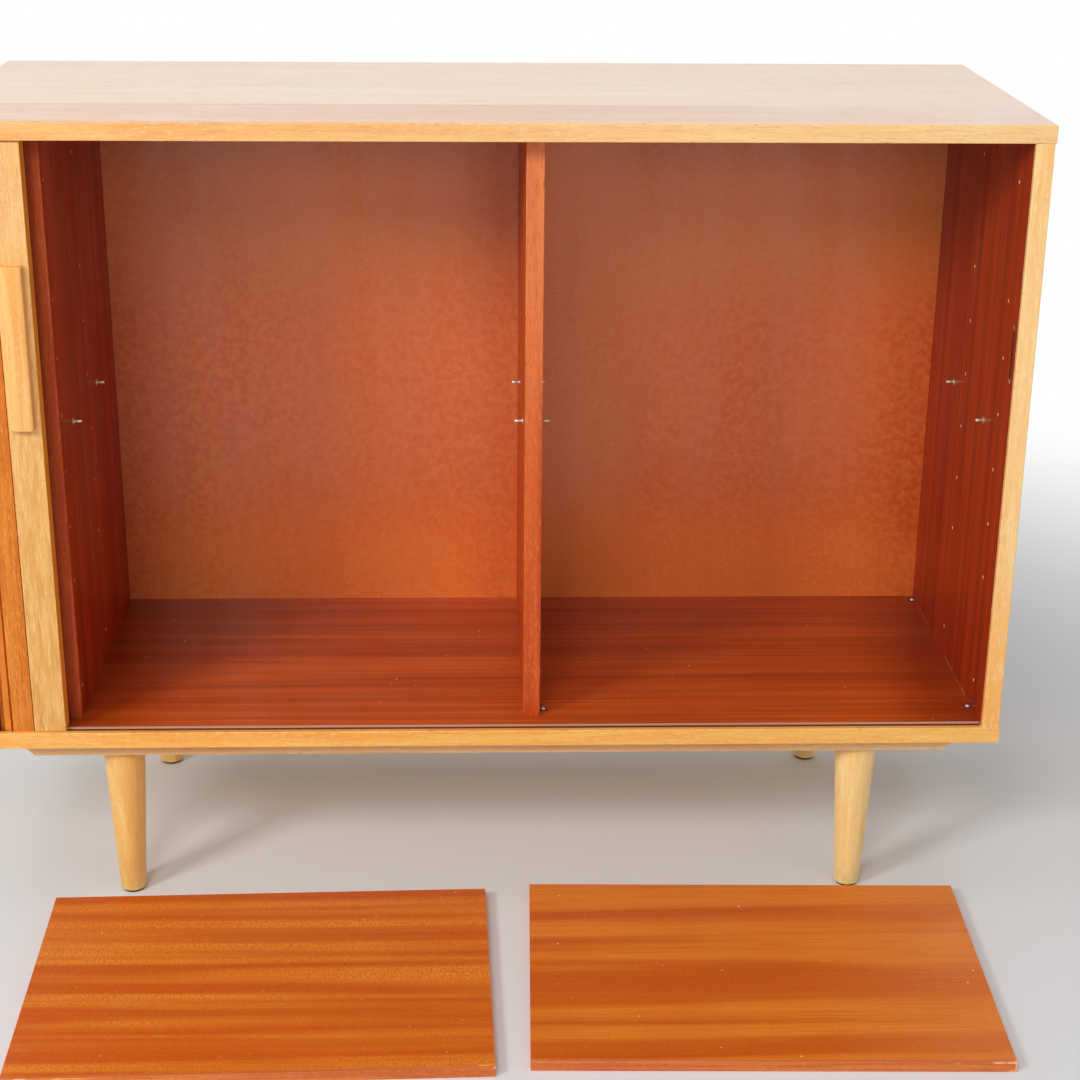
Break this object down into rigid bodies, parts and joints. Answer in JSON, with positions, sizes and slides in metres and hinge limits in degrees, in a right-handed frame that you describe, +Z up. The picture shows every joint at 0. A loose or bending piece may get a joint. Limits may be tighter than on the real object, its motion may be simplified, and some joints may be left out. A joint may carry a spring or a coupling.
{
  "type": "roll-front storage cabinet",
  "caption": "Low oak cabinet on turned legs with one sliding tambour front, two open bays and loose shelves that lie in front of it.",
  "frame": {"origin": "middle of the footprint of the cabinet and its two shelves, on the floor", "axes": "+X to the right seen from the front, +Y from the front to the rear, +Z up"},
  "size_m": [1.2, 0.8112, 0.946],
  "materials": {
    "oak_top": "clear lacquered oak veneer outside, dark mahogany inside",
    "oak_bottom": "oak outside, mahogany inside",
    "oak_lipping": "clear lacquered solid oak",
    "oak_side": "oak outside, mahogany inside",
    "pale_strip": "pale waxed hardwood",
    "beech_dowel": "plain beech",
    "mahogany_upright": "stained and lacquered veneer",
    "mahogany_lipping": "lacquered solid wood",
    "stained_hardboard": "stained hardboard",
    "rear_hardboard": "plain hardboard",
    "zinc_screw": "zinc plated steel",
    "steel_pin": "plated steel",
    "steel_bracket": "plated steel",
    "oak_stile": "clear lacquered solid oak",
    "oak_handle": "clear lacquered solid oak",
    "catch_plastic": "brown moulded plastic",
    "magnet": "dark ferrite",
    "keeper_steel": "darkened steel",
    "canvas": "plain cotton canvas",
    "teak_slat": "oiled teak",
    "shelf_veneer": "satin lacquered ribbon veneer",
    "shelf_lipping": "satin lacquered solid wood",
    "oak_rail": "oak",
    "oak_leg": "turned oak",
    "foot_pad": "hard rubber"
  },
  "bodies": {
    "carcass": {"top_panel": "oak_top", "bottom_panel": "oak_bottom", "top_front_lipping": "oak_lipping", "bottom_front_lipping": "oak_lipping", "top_track_strip": "pale_strip", "bottom_track_strip": "pale_strip", "left_side_panel": "oak_side", "right_side_panel": "oak_side", "left_side_lipping": "oak_lipping", "right_side_lipping": "oak_lipping", "side_dowels": "beech_dowel", "tambour_partition": "mahogany_upright", "tambour_partition_lipping": "mahogany_lipping", "partition_dowels": "beech_dowel", "centre_divider": "mahogany_upright", "centre_divider_lipping": "mahogany_lipping", "divider_dowels": "beech_dowel", "false_back": "stained_hardboard", "rear_back_panel": "rear_hardboard", "rear_back_screws": "zinc_screw", "partition_shelf_pins": "steel_pin", "divider_left_shelf_pins": "steel_pin", "divider_right_shelf_pins": "steel_pin", "right_side_shelf_pins": "steel_pin", "divider_corner_brackets": "steel_bracket", "right_side_corner_brackets": "steel_bracket", "corner_bracket_screws": "zinc_screw", "keeper_plate": "keeper_steel", "keeper_screws": "zinc_screw", "tambour_canvas": "canvas", "tambour_slats_front": "teak_slat", "tambour_slats_front_turn": "teak_slat", "tambour_slats_side": "teak_slat", "tambour_slats_rear_turn": "teak_slat", "tambour_slats_back": "teak_slat", "front_base_rail": "oak_rail", "rear_base_rail": "oak_rail", "leg_bolts": "zinc_screw", "base_rail_screws": "zinc_screw", "front_left_leg": "oak_leg", "front_left_foot_pad": "foot_pad", "front_right_leg": "oak_leg", "front_right_foot_pad": "foot_pad", "rear_left_leg": "oak_leg", "rear_left_foot_pad": "foot_pad", "rear_right_leg": "oak_leg", "rear_right_foot_pad": "foot_pad"},
    "door": {"tambour_lead_stile": "oak_stile", "tambour_handle": "oak_handle", "handle_screws": "zinc_screw", "catch_housing": "catch_plastic", "catch_magnet": "magnet", "catch_screws": "zinc_screw"},
    "left_shelf_board": {"left_shelf": "shelf_veneer", "left_shelf_lipping": "shelf_lipping"},
    "right_shelf_board": {"right_shelf": "shelf_veneer", "right_shelf_lipping": "shelf_lipping"}
  },
  "joints": [
    {"name": "door_slide", "type": "slide", "parent": "carcass", "child": "door", "axis": [1, 0, 0], "range_m": [0, 1.0747], "deforming": ["tambour_slats_front", "tambour_slats_front_turn", "tambour_slats_side", "tambour_slats_rear_turn", "tambour_slats_back", "tambour_canvas"]},
    {"name": "left_shelf_drag", "type": "slide", "parent": "carcass", "child": "left_shelf_board", "axis": [0, -1, 0], "range_m": [0, 0.35]},
    {"name": "right_shelf_drag", "type": "slide", "parent": "carcass", "child": "right_shelf_board", "axis": [0, -1, 0], "range_m": [0, 0.35]}
  ]
}
